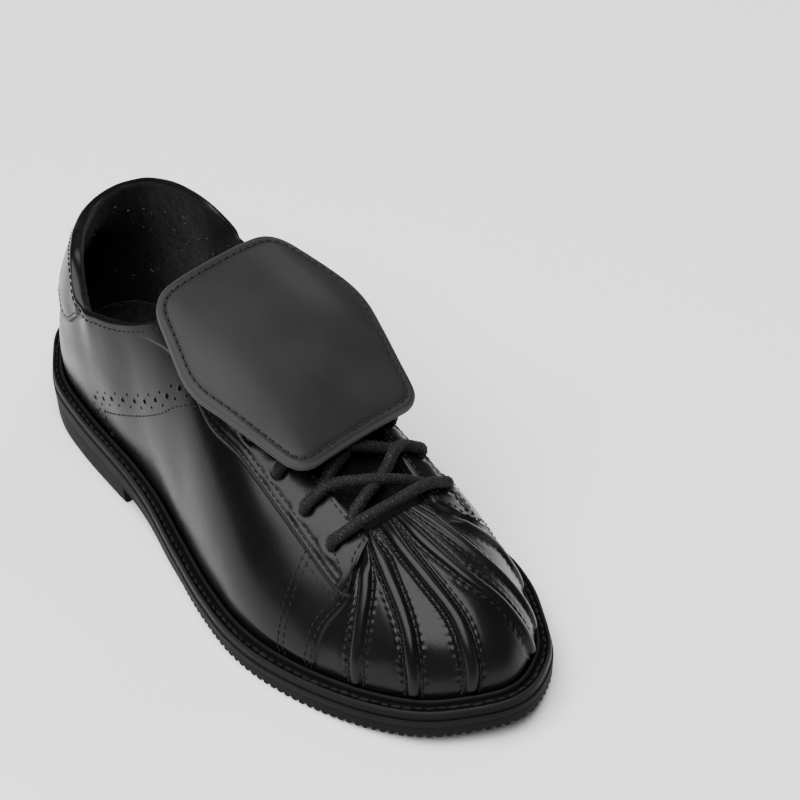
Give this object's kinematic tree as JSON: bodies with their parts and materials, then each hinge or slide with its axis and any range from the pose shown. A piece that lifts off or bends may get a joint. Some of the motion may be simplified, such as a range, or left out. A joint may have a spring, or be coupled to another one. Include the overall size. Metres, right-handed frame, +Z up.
{
  "type": "derby dress shoe",
  "caption": "Right derby shoe with a ribbed shell toe, a welted rubber sole with a heel, laces and a broad leather flap over them.",
  "frame": {"origin": "middle of the shoe's bounding box, at the floor", "axes": "+X towards the toe, +Y towards the inner side of the foot, +Z up from the floor"},
  "size_m": [0.303, 0.1064, 0.1151],
  "materials": {
    "sole_rubber": "matte",
    "welt_rubber": "satin",
    "lining": "brushed",
    "upper_leather": "semi-gloss, smooth",
    "flap_leather": "satin, smooth",
    "lace_cord": "braided"
  },
  "bodies": {
    "root": {"outsole": "sole_rubber", "welt": "welt_rubber", "insole": "lining", "upper": "upper_leather", "tongue": "upper_leather", "flap": "flap_leather", "lace_bar": "lace_cord", "lace_crossing_front": "lace_cord", "lace_crossing_middle": "lace_cord", "lace_crossing_top": "lace_cord"}
  },
  "joints": []
}
